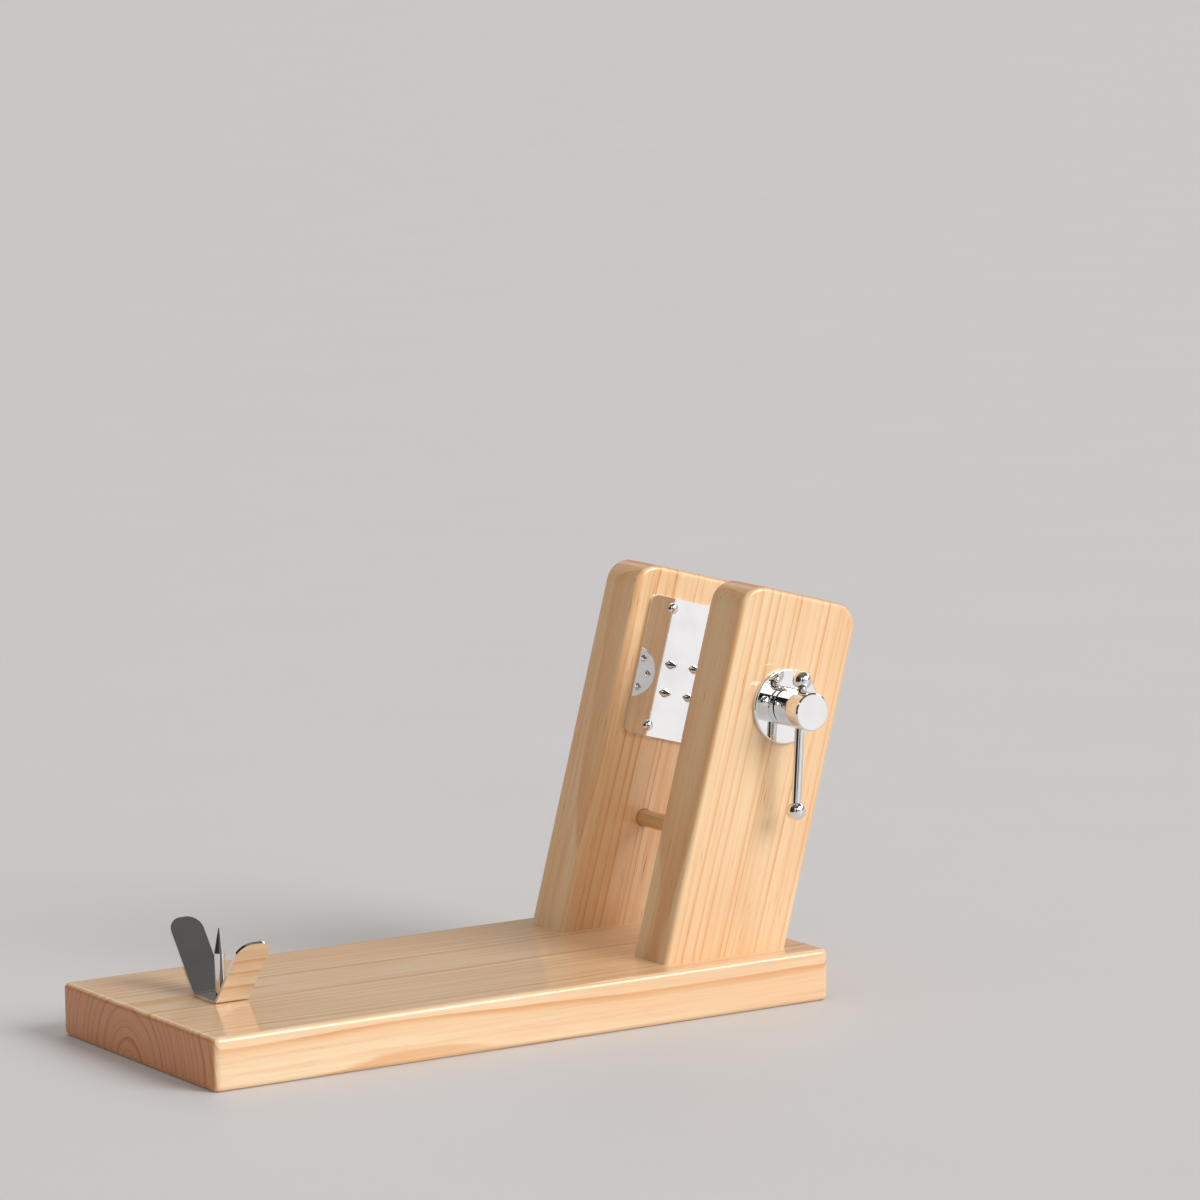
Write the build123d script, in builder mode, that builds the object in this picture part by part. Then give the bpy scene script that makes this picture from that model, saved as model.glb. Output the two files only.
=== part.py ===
from build123d import *
from math import cos, radians, sin, sqrt, tan
import os

# Ham holder stand. Millimetres, +Z up. The origin is the centre of the base board's underside.
# X runs along the board: the toe cradle is at -X, the two uprights at +X and lean further that way.
# Y runs across it: the clamp screw is worked from the front, -Y.

os.makedirs("parts", exist_ok=True)

# ---- driving dimensions -------------------------------------------------------------------------
# base board
BASE_LENGTH = 400.0
BASE_WIDTH = 180.0
BASE_THICKNESS = 30.0
BASE_CORNER_RADIUS = 4.0
BASE_EDGE_RADIUS = 3.0

# uprights, measured square to their own lean
UPRIGHT_WIDTH = 80.0
UPRIGHT_THICKNESS = 34.0
UPRIGHT_LENGTH = 222.0
UPRIGHT_LEAN = 15.5
UPRIGHT_GAP = 78.0
UPRIGHT_SETBACK = 18.0
UPRIGHT_CORNER_RADIUS = 14.0
UPRIGHT_EDGE_RADIUS = 3.0

# cross rod that ties the uprights, placed up the lean and back from their front edge
ROD_DIAMETER = 10.0
ROD_HEIGHT = 75.5
ROD_FROM_FRONT = 40.0
ROD_DEPTH = 18.0
ROD_CLEARANCE = 0.3

# clamp screw, placed down from the uprights' tops and back from their front edge
CLAMP_FROM_TOP = 64.0
CLAMP_FROM_FRONT = 43.0
FLANGE_DIAMETER = 43.5
FLANGE_THICKNESS = 2.5
FLANGE_EDGE_RADIUS = 0.9
BOSS_DIAMETER = 22.0
BOSS_HEIGHT = 1.5
BARREL_DIAMETER = 20.0
FLANGE_SCREW_SPACING = 31.0
SPINDLE_DIAMETER = 14.0
HEAD_DIAMETER = 22.0
HEAD_LENGTH = 23.7
HEAD_GAP = 0.8
HEAD_CHAMFER = 0.8
SPINDLE_CHAMFER = 0.8
HEAD_SOCKET_DEPTH = 7.0

# tommy bar through the head of the clamp screw
BAR_DIAMETER = 5.6
BAR_BALL_DIAMETER = 11.0
BAR_BALL_SPACING = 75.0
BAR_FROM_HEAD_BASE = 11.7
BAR_TILT = 4.0
BAR_STOP_GAP = 0.3
SPIGOT_DIAMETER = 4.0
SPIGOT_LENGTH = 5.5

# swivel jaw on the inner end of the clamp screw
JAW_REACH = 26.0
JAW_DIAMETER = 30.0
JAW_DISC_THICKNESS = 4.0
JAW_HUB_DIAMETER = 18.0
JAW_HUB_LENGTH = 4.0
JAW_SOCKET_DEPTH = 5.8
JOURNAL_DIAMETER = 10.0
RING_OUTER_DIAMETER = 12.0
RING_INNER_DIAMETER = 8.6
RING_THICKNESS = 1.2
RING_DEPTH = 1.6
RING_MOUTH = 2.0
JAW_TOOTH_CIRCLE = 20.0
JAW_TOOTH_DIAMETER = 4.6
JAW_TOOTH_HEIGHT = 3.5
JAW_TOOTH_COUNT = 6
JAW_EDGE_RADIUS = 0.8
POINT_RADIUS = 0.3

# fixed jaw plate on the rear upright
PLATE_WIDTH = 62.0
PLATE_HEIGHT = 82.0
PLATE_THICKNESS = 2.0
PLATE_CENTRE_FROM_TOP = 58.0
PLATE_CORNER_RADIUS = 4.0
PLATE_SCREW_SPACING_ACROSS = 31.0
PLATE_SCREW_EDGE = 6.0
STUD_CIRCLE = 24.0
STUD_DIAMETER = 5.0
STUD_STRAIGHT = 1.0
STUD_POINT = 5.0
STUD_COUNT = 4

# toe cradle: a folded sheet with two splayed ears, and a spike
CRADLE_FROM_END = 52.8
CRADLE_WIDTH = 20.5
CRADLE_FLOOR = 25.0
CRADLE_SHEET = 1.6
CRADLE_FOLD_RADIUS = 2.5
EAR_LENGTH = 48.5
EAR_SPLAY = 39.0
EAR_CORNER_RADIUS = 8.5
SPIKE_DIAMETER = 6.2
SPIKE_STRAIGHT = 24.0
SPIKE_HEIGHT = 38.0
SPIKE_TIP_RADIUS = 0.4
SPIKE_SHANK_DIAMETER = 4.5
SPIKE_SHANK_DEPTH = 20.0
CRADLE_SCREW_SPACING = 15.0

# fasteners and fits
DOMED_HEAD_DIAMETER = 6.5
DOMED_HEAD_HEIGHT = 2.4
DOME_RIM = 0.4
DOMED_SHANK_DIAMETER = 3.2
DOMED_SHANK_LENGTH = 18.0
SMALL_SCREW_HEAD = 5.2
SMALL_SCREW_SHANK = 2.6
SMALL_SCREW_LENGTH = 14.0
LONG_SCREW_HEAD = 9.6
LONG_SCREW_SHANK = 4.8
LONG_SCREW_IN_UPRIGHT = 32.0
LONG_SCREW_SPACING = 44.0
DOWEL_DIAMETER = 8.0
DOWEL_IN_BASE = 18.0
DOWEL_IN_UPRIGHT = 20.0
RECESS_LENGTH_SHARE = 0.55
RECESS_WIDTH = 0.8
RECESS_DEPTH = 1.2
RUNNING_FIT = 0.06
SEAT_FIT = 0.05
GROOVE_FIT = 0.15
RING_PLAY = 0.3
END_ROOM = 0.5
THRUST_GAP = 0.2
END_CHAMFER = 1.0

# ---- places worked out from the dimensions --------------------------------------------------------
LEAN = radians(UPRIGHT_LEAN)
ACROSS = (cos(LEAN), 0, -sin(LEAN))
FOOT_LENGTH = UPRIGHT_WIDTH / cos(LEAN)
FOOT_X = BASE_LENGTH / 2 - UPRIGHT_SETBACK - FOOT_LENGTH
FOOT_CENTRE_X = FOOT_X + FOOT_LENGTH / 2
INNER_FACE = UPRIGHT_GAP / 2
OUTER_FACE = INNER_FACE + UPRIGHT_THICKNESS
UPRIGHT_MIDDLE = INNER_FACE + UPRIGHT_THICKNESS / 2
CLAMP_HEIGHT = UPRIGHT_LENGTH - CLAMP_FROM_TOP
PLATE_CENTRE_HEIGHT = UPRIGHT_LENGTH - PLATE_CENTRE_FROM_TOP
CRADLE_X = CRADLE_FROM_END - BASE_LENGTH / 2

HEAD_BASE_Y = -OUTER_FACE - FLANGE_THICKNESS - BOSS_HEIGHT - HEAD_GAP
BAR_Y = HEAD_BASE_Y - BAR_FROM_HEAD_BASE
JAW_FACE_Y = -INNER_FACE + JAW_REACH
JAW_BACK_Y = JAW_FACE_Y - JAW_DISC_THICKNESS - JAW_HUB_LENGTH
JAW_FLOOR_Y = JAW_BACK_Y + JAW_SOCKET_DEPTH
RING_Y = JAW_BACK_Y + RING_DEPTH


def leaning_plane(y, facing=-1):
    """Plane at y whose X runs back across an upright and whose origin is the foot's front edge."""
    return Plane(origin=(FOOT_X, y, BASE_THICKNESS), x_dir=ACROSS, z_dir=(0, facing, 0))


def place_on_upright(y, from_front, height):
    """Point at y, so far back from the upright's front edge and so far up its lean."""
    return leaning_plane(y).from_local_coords((from_front, height, 0))


def clamp_plane(y, facing=-1):
    """Plane square to the clamp screw's axis at y, facing the user (-1) or the shank (1)."""
    centre = place_on_upright(y, CLAMP_FROM_FRONT, CLAMP_HEIGHT)
    return Plane(origin=centre, x_dir=ACROSS, z_dir=(0, facing, 0))


def rod_plane(y, facing):
    """Plane square to the cross rod at y."""
    centre = place_on_upright(y, ROD_FROM_FRONT, ROD_HEIGHT)
    return Plane(origin=centre, x_dir=ACROSS, z_dir=(0, facing, 0))


def plate_plane(y):
    """Plane on the fixed jaw plate at y, facing the shank."""
    centre = place_on_upright(y, CLAMP_FROM_FRONT, PLATE_CENTRE_HEIGHT)
    return Plane(origin=centre, x_dir=ACROSS, z_dir=(0, -1, 0))


def bar_plane(distance):
    """Plane square to the tommy bar, so far up the bar from the clamp screw's axis."""
    tilt = radians(BAR_TILT)
    axis = Vector(sin(tilt), 0, cos(tilt))
    centre = place_on_upright(BAR_Y, CLAMP_FROM_FRONT, CLAMP_HEIGHT) + axis * distance
    return Plane(origin=centre, x_dir=(0, -1, 0), z_dir=axis)


def save(piece, label):
    """Name a finished piece and write its STEP file."""
    piece.label = label
    export_step(piece, f"parts/{label}.step")


# ---- fasteners, each made with its seat at Z = 0 and its shank pointing down -------------------------
def cross_recess(head_diameter):
    """What a screwdriver's cross leaves empty in a head whose top is at Z = 0."""
    with BuildPart() as recess:
        with BuildSketch(Plane.XY):
            Rectangle(head_diameter * RECESS_LENGTH_SHARE, RECESS_WIDTH)
            Rectangle(RECESS_WIDTH, head_diameter * RECESS_LENGTH_SHARE)
        extrude(amount=-RECESS_DEPTH)
    return recess.part


def domed_screw():
    """Domed wood screw."""
    recess = cross_recess(DOMED_HEAD_DIAMETER)
    with BuildPart() as screw:
        with BuildSketch(Plane.XY):
            Circle(DOMED_HEAD_DIAMETER / 2)
        extrude(amount=DOMED_HEAD_HEIGHT)
        fillet(screw.edges().group_by(Axis.Z)[-1], radius=DOMED_HEAD_HEIGHT - DOME_RIM)
        with BuildSketch(Plane.XY):
            Circle(DOMED_SHANK_DIAMETER / 2)
        extrude(amount=-DOMED_SHANK_LENGTH)
        chamfer(screw.edges().group_by(Axis.Z)[0], length=DOMED_SHANK_DIAMETER / 4)
        with Locations((0, 0, DOMED_HEAD_HEIGHT)):
            add(recess, mode=Mode.SUBTRACT)
    return screw.part


def countersunk_screw(head_diameter, shank_diameter, length):
    """Countersunk wood screw whose flat head is at Z = 0."""
    head_depth = (head_diameter - shank_diameter) / 2
    recess = cross_recess(head_diameter)
    with BuildPart() as screw:
        with BuildSketch(Plane.XY):
            Circle(shank_diameter / 2)
        extrude(amount=-length)
        chamfer(screw.edges().group_by(Axis.Z)[0], length=shank_diameter / 4)
        with Locations((0, 0, -head_depth / 2)):
            Cone(shank_diameter / 2, head_diameter / 2, head_depth)
        add(recess, mode=Mode.SUBTRACT)
    return screw.part


# ---- base board ------------------------------------------------------------------------------------
UPRIGHT_CENTRES = [(FOOT_CENTRE_X, side * UPRIGHT_MIDDLE) for side in (-1, 1)]
LONG_SCREW_LENGTH = BASE_THICKNESS + LONG_SCREW_IN_UPRIGHT

with BuildPart() as base_board:
    with BuildSketch(Plane.XY):
        RectangleRounded(BASE_LENGTH, BASE_WIDTH, BASE_CORNER_RADIUS)
    extrude(amount=BASE_THICKNESS)
    rims = base_board.edges().group_by(Axis.Z)
    fillet(rims[0] + rims[-1], radius=BASE_EDGE_RADIUS)
    # two countersunk screw holes from below and one dowel hole from above at each upright
    with Locations(Plane(origin=(0, 0, 0), x_dir=(1, 0, 0), z_dir=(0, 0, -1))):
        with Locations(*[(x, -y) for x, y in UPRIGHT_CENTRES]):
            with GridLocations(LONG_SCREW_SPACING, 0, 2, 1):
                CounterSinkHole(
                    LONG_SCREW_SHANK / 2 + SEAT_FIT,
                    LONG_SCREW_HEAD / 2 + SEAT_FIT,
                    depth=BASE_THICKNESS,
                    counter_sink_angle=90,
                )
    with Locations(Plane.XY.offset(BASE_THICKNESS)):
        with Locations(*UPRIGHT_CENTRES):
            Hole(DOWEL_DIAMETER / 2 + SEAT_FIT, depth=DOWEL_IN_BASE + END_ROOM)
        # spike and cradle screws
        with Locations((CRADLE_X, 0)):
            Hole(SPIKE_SHANK_DIAMETER / 2 + SEAT_FIT, depth=SPIKE_SHANK_DEPTH + END_ROOM)
            with GridLocations(0, CRADLE_SCREW_SPACING, 1, 2):
                Hole(SMALL_SCREW_SHANK / 2 + SEAT_FIT, depth=SMALL_SCREW_LENGTH + END_ROOM)
save(base_board.part, "base_board")


# ---- uprights --------------------------------------------------------------------------------------
def upright_blank(side):
    """One leaning upright with its rod hole and its fixing holes; side -1 is the front one."""
    with BuildPart() as blank:
        with BuildSketch(leaning_plane(side * OUTER_FACE, facing=-1)):
            with BuildLine():
                Polyline(
                    (0, 0),
                    (UPRIGHT_WIDTH, UPRIGHT_WIDTH * tan(LEAN)),
                    (UPRIGHT_WIDTH, UPRIGHT_LENGTH),
                    (0, UPRIGHT_LENGTH),
                    close=True,
                )
            outline = make_face()
            fillet(outline.vertices().sort_by(Axis.Y)[-2:], radius=UPRIGHT_CORNER_RADIUS)
        extrude(amount=side * UPRIGHT_THICKNESS)
        faces_across = blank.edges().group_by(Axis.Y)
        rims = (faces_across[0] + faces_across[-1]).filter_by(Axis.X, reverse=True)
        fillet(rims, radius=UPRIGHT_EDGE_RADIUS)
        with Locations(rod_plane(side * INNER_FACE, facing=-side)):
            Hole(ROD_DIAMETER / 2 + ROD_CLEARANCE, depth=ROD_DEPTH + END_ROOM)
        with Locations(Plane(origin=(0, 0, BASE_THICKNESS), x_dir=(1, 0, 0), z_dir=(0, 0, -1))):
            with Locations((FOOT_CENTRE_X, -side * UPRIGHT_MIDDLE)):
                Hole(DOWEL_DIAMETER / 2 + SEAT_FIT, depth=DOWEL_IN_UPRIGHT + END_ROOM)
                with GridLocations(LONG_SCREW_SPACING, 0, 2, 1):
                    Hole(LONG_SCREW_SHANK / 2 + SEAT_FIT, depth=LONG_SCREW_IN_UPRIGHT + END_ROOM)
    return blank.part


front_blank = upright_blank(-1)
with BuildPart() as front_upright:
    add(front_blank)
    with Locations(clamp_plane(-OUTER_FACE)):
        Hole(BARREL_DIAMETER / 2 + SEAT_FIT, depth=UPRIGHT_THICKNESS)
        with GridLocations(FLANGE_SCREW_SPACING, 0, 2, 1):
            Hole(DOMED_SHANK_DIAMETER / 2 + SEAT_FIT, depth=DOMED_SHANK_LENGTH)
save(front_upright.part, "front_upright")

PLATE_SCREW_RISE = PLATE_HEIGHT - 2 * PLATE_SCREW_EDGE
rear_blank = upright_blank(1)
with BuildPart() as rear_upright:
    add(rear_blank)
    with Locations(plate_plane(INNER_FACE)):
        with GridLocations(PLATE_SCREW_SPACING_ACROSS, PLATE_SCREW_RISE, 2, 2):
            Hole(DOMED_SHANK_DIAMETER / 2 + SEAT_FIT, depth=DOMED_SHANK_LENGTH)
save(rear_upright.part, "rear_upright")

# ---- cross rod -------------------------------------------------------------------------------------
with BuildPart() as cross_rod:
    with BuildSketch(rod_plane(INNER_FACE + ROD_DEPTH, facing=-1)):
        Circle(ROD_DIAMETER / 2)
    extrude(amount=UPRIGHT_GAP + 2 * ROD_DEPTH)
    chamfer(cross_rod.edges().filter_by(GeomType.CIRCLE), length=END_CHAMFER)
save(cross_rod.part, "cross_rod")

# ---- dowels and long screws under each upright ---------------------------------------------------------
long_screw = countersunk_screw(LONG_SCREW_HEAD, LONG_SCREW_SHANK, LONG_SCREW_LENGTH)
for side, name in ((-1, "front"), (1, "rear")):
    with BuildPart() as upright_dowel:
        with BuildSketch(Plane.XY.offset(BASE_THICKNESS - DOWEL_IN_BASE)):
            with Locations((FOOT_CENTRE_X, side * UPRIGHT_MIDDLE)):
                Circle(DOWEL_DIAMETER / 2)
        extrude(amount=DOWEL_IN_BASE + DOWEL_IN_UPRIGHT)
        chamfer(upright_dowel.edges().filter_by(GeomType.CIRCLE), length=END_CHAMFER)
    save(upright_dowel.part, f"{name}_upright_dowel")

    with BuildPart() as upright_screws:
        with Locations(Plane(origin=(0, 0, 0), x_dir=(1, 0, 0), z_dir=(0, 0, -1))):
            with Locations((FOOT_CENTRE_X, -side * UPRIGHT_MIDDLE)):
                with GridLocations(LONG_SCREW_SPACING, 0, 2, 1):
                    add(long_screw)
    save(upright_screws.part, f"{name}_upright_screws")

# ---- flanged nut of the clamp, let into the front upright ------------------------------------------------
with BuildPart() as clamp_flange_nut:
    with BuildSketch(clamp_plane(-OUTER_FACE)):
        Circle(FLANGE_DIAMETER / 2)
    extrude(amount=FLANGE_THICKNESS)
    fillet(clamp_flange_nut.edges().group_by(Axis.Y)[0], radius=FLANGE_EDGE_RADIUS)
    with BuildSketch(clamp_plane(-OUTER_FACE - FLANGE_THICKNESS)):
        Circle(BOSS_DIAMETER / 2)
    extrude(amount=BOSS_HEIGHT)
    with BuildSketch(clamp_plane(-OUTER_FACE)):
        Circle(BARREL_DIAMETER / 2)
    extrude(amount=-UPRIGHT_THICKNESS)
    with Locations(clamp_plane(-OUTER_FACE - FLANGE_THICKNESS)):
        with GridLocations(FLANGE_SCREW_SPACING, 0, 2, 1):
            Hole(DOMED_SHANK_DIAMETER / 2 + SEAT_FIT, depth=FLANGE_THICKNESS)
    with Locations(clamp_plane(-OUTER_FACE - FLANGE_THICKNESS - BOSS_HEIGHT)):
        Hole(SPINDLE_DIAMETER / 2 + RUNNING_FIT)
save(clamp_flange_nut.part, "clamp_flange_nut")

domed = domed_screw()
with BuildPart() as clamp_flange_screws:
    with Locations(clamp_plane(-OUTER_FACE - FLANGE_THICKNESS)):
        with GridLocations(FLANGE_SCREW_SPACING, 0, 2, 1):
            add(domed)
save(clamp_flange_screws.part, "clamp_flange_screws")

# ---- clamp screw: spindle with a journal for the jaw, and its turned head -----------------------------------
SHOULDER_Y = JAW_BACK_Y - END_ROOM
GROOVE_WIDTH = RING_THICKNESS + 2 * GROOVE_FIT
with BuildPart() as clamp_spindle:
    with BuildSketch(clamp_plane(SHOULDER_Y)):
        Circle(SPINDLE_DIAMETER / 2)
    extrude(amount=SHOULDER_Y - HEAD_BASE_Y + HEAD_SOCKET_DEPTH - END_ROOM)
    chamfer(clamp_spindle.edges().filter_by(GeomType.CIRCLE), length=SPINDLE_CHAMFER)
    with BuildSketch(clamp_plane(SHOULDER_Y)):
        Circle(JOURNAL_DIAMETER / 2)
    extrude(amount=SHOULDER_Y - JAW_FLOOR_Y + THRUST_GAP)
    # groove for the jaw's spring ring
    with BuildSketch(clamp_plane(RING_Y + GROOVE_WIDTH / 2)):
        Circle(JOURNAL_DIAMETER / 2)
        Circle(RING_INNER_DIAMETER / 2 - RING_PLAY, mode=Mode.SUBTRACT)
    extrude(amount=GROOVE_WIDTH, mode=Mode.SUBTRACT)
save(clamp_spindle.part, "clamp_spindle")

with BuildPart() as spindle_head:
    with BuildSketch(clamp_plane(HEAD_BASE_Y)):
        Circle(HEAD_DIAMETER / 2)
    extrude(amount=HEAD_LENGTH)
    chamfer(spindle_head.edges().filter_by(GeomType.CIRCLE), length=HEAD_CHAMFER)
    with BuildSketch(clamp_plane(HEAD_BASE_Y)):
        Circle(SPINDLE_DIAMETER / 2 + SEAT_FIT)
    extrude(amount=HEAD_SOCKET_DEPTH, mode=Mode.SUBTRACT)
    with BuildSketch(bar_plane(-HEAD_DIAMETER)):
        Circle(BAR_DIAMETER / 2 + RUNNING_FIT)
    extrude(amount=2 * HEAD_DIAMETER, mode=Mode.SUBTRACT)
save(spindle_head.part, "spindle_head")

# ---- tommy bar with its two screwed-on balls, hanging from the upper one ------------------------------------
UPPER_BALL = HEAD_DIAMETER / 2 + BAR_BALL_DIAMETER / 2 + BAR_STOP_GAP
LOWER_BALL = UPPER_BALL - BAR_BALL_SPACING
BALL_FLAT = sqrt((BAR_BALL_DIAMETER / 2) ** 2 - (BAR_DIAMETER / 2) ** 2)

with BuildPart() as tommy_bar:
    with BuildSketch(bar_plane(LOWER_BALL + BALL_FLAT)):
        Circle(BAR_DIAMETER / 2)
    extrude(amount=BAR_BALL_SPACING - 2 * BALL_FLAT)
    with BuildSketch(bar_plane(LOWER_BALL + BALL_FLAT - SPIGOT_LENGTH)):
        Circle(SPIGOT_DIAMETER / 2)
    extrude(amount=BAR_BALL_SPACING - 2 * BALL_FLAT + 2 * SPIGOT_LENGTH)
save(tommy_bar.part, "tommy_bar")

for place, toward_bar, name in ((UPPER_BALL, -1, "upper"), (LOWER_BALL, 1, "lower")):
    seat = place + toward_bar * BALL_FLAT
    with BuildPart() as tommy_ball:
        with Locations(bar_plane(place)):
            Sphere(BAR_BALL_DIAMETER / 2)
        split(bisect_by=bar_plane(seat), keep=Keep.BOTTOM if toward_bar > 0 else Keep.TOP)
        with BuildSketch(bar_plane(seat)):
            Circle(SPIGOT_DIAMETER / 2 + SEAT_FIT)
        extrude(amount=-toward_bar * (SPIGOT_LENGTH + END_ROOM), mode=Mode.SUBTRACT)
    save(tommy_ball.part, f"tommy_ball_{name}")

# ---- swivel jaw on the spindle's journal, kept by a spring ring ----------------------------------------------
with BuildPart() as swivel_jaw:
    with BuildSketch(clamp_plane(JAW_FACE_Y)):
        Circle(JAW_DIAMETER / 2)
    extrude(amount=JAW_DISC_THICKNESS)
    fillet(swivel_jaw.edges().filter_by(GeomType.CIRCLE), radius=JAW_EDGE_RADIUS)
    with BuildSketch(clamp_plane(JAW_FACE_Y - JAW_DISC_THICKNESS)):
        Circle(JAW_HUB_DIAMETER / 2)
    extrude(amount=JAW_HUB_LENGTH)
    with Locations(clamp_plane(JAW_FACE_Y, facing=1)):
        with PolarLocations(JAW_TOOTH_CIRCLE / 2, JAW_TOOTH_COUNT):
            Cone(
                JAW_TOOTH_DIAMETER / 2,
                POINT_RADIUS,
                JAW_TOOTH_HEIGHT,
                align=(Align.CENTER, Align.CENTER, Align.MIN),
            )
    with BuildSketch(clamp_plane(JAW_BACK_Y, facing=1)):
        Circle(JOURNAL_DIAMETER / 2 + RUNNING_FIT)
    extrude(amount=JAW_SOCKET_DEPTH, mode=Mode.SUBTRACT)
    with BuildSketch(clamp_plane(RING_Y + GROOVE_WIDTH / 2)):
        Circle(RING_OUTER_DIAMETER / 2 + GROOVE_FIT)
    extrude(amount=GROOVE_WIDTH, mode=Mode.SUBTRACT)
save(swivel_jaw.part, "swivel_jaw")

with BuildPart() as jaw_spring_ring:
    with BuildSketch(clamp_plane(RING_Y + RING_THICKNESS / 2)):
        Circle(RING_OUTER_DIAMETER / 2)
        Circle(RING_INNER_DIAMETER / 2, mode=Mode.SUBTRACT)
        with Locations((RING_OUTER_DIAMETER / 2, 0)):
            Rectangle(RING_OUTER_DIAMETER / 2, RING_MOUTH, mode=Mode.SUBTRACT)
    extrude(amount=RING_THICKNESS)
save(jaw_spring_ring.part, "jaw_spring_ring")

# ---- fixed jaw plate on the rear upright -----------------------------------------------------------------------
PLATE_FACE_Y = INNER_FACE - PLATE_THICKNESS
with BuildPart() as fixed_jaw_plate:
    with BuildSketch(plate_plane(INNER_FACE)):
        RectangleRounded(PLATE_WIDTH, PLATE_HEIGHT, PLATE_CORNER_RADIUS)
        with GridLocations(PLATE_SCREW_SPACING_ACROSS, PLATE_SCREW_RISE, 2, 2):
            Circle(DOMED_SHANK_DIAMETER / 2 + SEAT_FIT, mode=Mode.SUBTRACT)
    extrude(amount=PLATE_THICKNESS)
    with Locations(clamp_plane(PLATE_FACE_Y)):
        with PolarLocations(STUD_CIRCLE / 2, STUD_COUNT, start_angle=45):
            Hole(STUD_DIAMETER / 2 + SEAT_FIT, depth=PLATE_THICKNESS)
save(fixed_jaw_plate.part, "fixed_jaw_plate")

with BuildPart() as fixed_jaw_studs:
    with Locations(clamp_plane(INNER_FACE)):
        with PolarLocations(STUD_CIRCLE / 2, STUD_COUNT, start_angle=45):
            Cylinder(
                STUD_DIAMETER / 2,
                PLATE_THICKNESS + STUD_STRAIGHT,
                align=(Align.CENTER, Align.CENTER, Align.MIN),
            )
    with Locations(clamp_plane(PLATE_FACE_Y - STUD_STRAIGHT)):
        with PolarLocations(STUD_CIRCLE / 2, STUD_COUNT, start_angle=45):
            Cone(
                STUD_DIAMETER / 2,
                POINT_RADIUS,
                STUD_POINT,
                align=(Align.CENTER, Align.CENTER, Align.MIN),
            )
save(fixed_jaw_studs.part, "fixed_jaw_studs")

with BuildPart() as fixed_jaw_screws:
    with Locations(plate_plane(PLATE_FACE_Y)):
        with GridLocations(PLATE_SCREW_SPACING_ACROSS, PLATE_SCREW_RISE, 2, 2):
            add(domed)
save(fixed_jaw_screws.part, "fixed_jaw_screws")

# ---- toe cradle -----------------------------------------------------------------------------------------------
SPLAY = radians(EAR_SPLAY)
EAR_OUT = EAR_LENGTH * sin(SPLAY)
EAR_UP = EAR_LENGTH * cos(SPLAY)
CRADLE_TOP = BASE_THICKNESS + CRADLE_SHEET

with BuildPart() as toe_cradle:
    section = Plane(
        origin=(CRADLE_X - CRADLE_WIDTH / 2, 0, BASE_THICKNESS + CRADLE_SHEET / 2),
        x_dir=(0, 1, 0),
        z_dir=(1, 0, 0),
    )
    with BuildSketch(section):
        with BuildLine():
            FilletPolyline(
                (-CRADLE_FLOOR / 2 - EAR_OUT, EAR_UP),
                (-CRADLE_FLOOR / 2, 0),
                (CRADLE_FLOOR / 2, 0),
                (CRADLE_FLOOR / 2 + EAR_OUT, EAR_UP),
                radius=CRADLE_FOLD_RADIUS,
            )
        trace(line_width=CRADLE_SHEET)
    extrude(amount=CRADLE_WIDTH)
    ends = toe_cradle.edges().filter_by(lambda edge: abs(edge.length - CRADLE_SHEET) < 0.01)
    fillet(ends.sort_by(Axis.Z)[-4:], radius=EAR_CORNER_RADIUS)
    with Locations(Plane.XY.offset(CRADLE_TOP)):
        with Locations((CRADLE_X, 0)):
            Hole(SPIKE_SHANK_DIAMETER / 2 + SEAT_FIT, depth=CRADLE_SHEET)
            with GridLocations(0, CRADLE_SCREW_SPACING, 1, 2):
                CounterSinkHole(
                    SMALL_SCREW_SHANK / 2 + SEAT_FIT,
                    SMALL_SCREW_HEAD / 2 + SEAT_FIT,
                    depth=CRADLE_SHEET,
                    counter_sink_angle=90,
                )
save(toe_cradle.part, "toe_cradle")

with BuildPart() as toe_spike:
    with BuildSketch(Plane.XY.offset(CRADLE_TOP)):
        with Locations((CRADLE_X, 0)):
            Circle(SPIKE_DIAMETER / 2)
    extrude(amount=SPIKE_STRAIGHT)
    with Locations((CRADLE_X, 0, CRADLE_TOP + SPIKE_STRAIGHT)):
        Cone(
            SPIKE_DIAMETER / 2,
            SPIKE_TIP_RADIUS,
            SPIKE_HEIGHT - SPIKE_STRAIGHT,
            align=(Align.CENTER, Align.CENTER, Align.MIN),
        )
    with BuildSketch(Plane.XY.offset(CRADLE_TOP)):
        with Locations((CRADLE_X, 0)):
            Circle(SPIKE_SHANK_DIAMETER / 2)
    extrude(amount=-CRADLE_SHEET - SPIKE_SHANK_DEPTH)
save(toe_spike.part, "toe_spike")

small_screw = countersunk_screw(SMALL_SCREW_HEAD, SMALL_SCREW_SHANK, SMALL_SCREW_LENGTH)
with BuildPart() as toe_cradle_screws:
    with Locations((CRADLE_X, 0, CRADLE_TOP)):
        with GridLocations(0, CRADLE_SCREW_SPACING, 1, 2):
            add(small_screw)
save(toe_cradle_screws.part, "toe_cradle_screws")
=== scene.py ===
from math import cos, pi, radians, sin

import bmesh
import bpy
from mathutils import Matrix, Vector


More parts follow.
